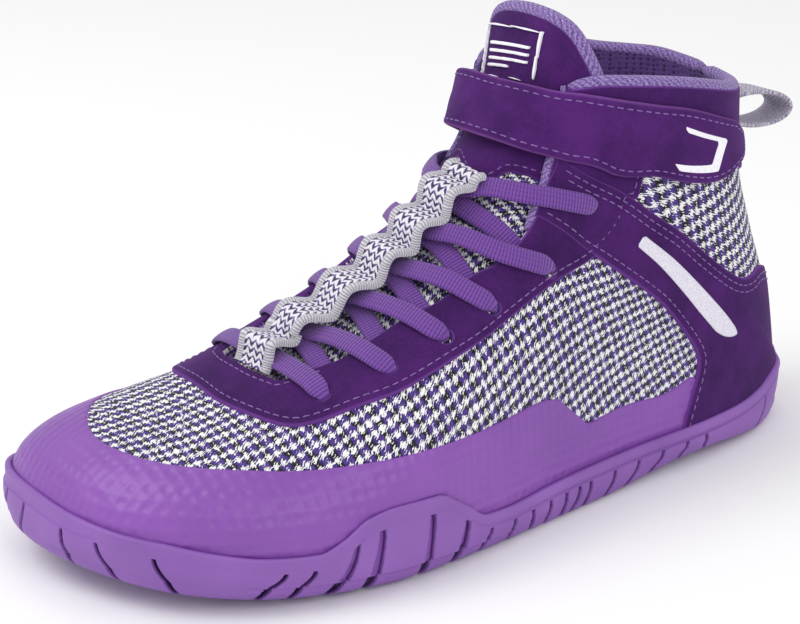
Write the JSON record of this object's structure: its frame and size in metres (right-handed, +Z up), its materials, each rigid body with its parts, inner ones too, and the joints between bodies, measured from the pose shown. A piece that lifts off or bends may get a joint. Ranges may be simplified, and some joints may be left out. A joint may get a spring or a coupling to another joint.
{
  "type": "wrestling shoe",
  "caption": "Left high-top wrestling shoe with cup sole, knit and suede upper, padded tongue, ankle strap, flat lace under an elastic band and heel pull loop.",
  "frame": {"origin": "on the ground plane, on the sole's length axis halfway along its length", "axes": "-Y towards the toe, +X towards the lateral side of this left shoe, +Z up"},
  "size_m": [0.1148, 0.2771, 0.1501],
  "materials": {
    "outsole": "matte moulded rubber",
    "insole": "brushed textile over foam",
    "upper": "jacquard knit with microsuede and moulded film overlays",
    "tongue": "microsuede over foam, knit lower part",
    "ankle_strap": "microsuede",
    "lace": "flat woven lace",
    "lace_band": "knitted elastic",
    "pull_loop": "woven webbing"
  },
  "bodies": {
    "root": {"outsole": "outsole", "insole": "insole", "upper": "upper", "tongue": "tongue", "ankle_strap": "ankle_strap", "lace": "lace", "lace_band": "lace_band", "pull_loop": "pull_loop"}
  },
  "joints": []
}
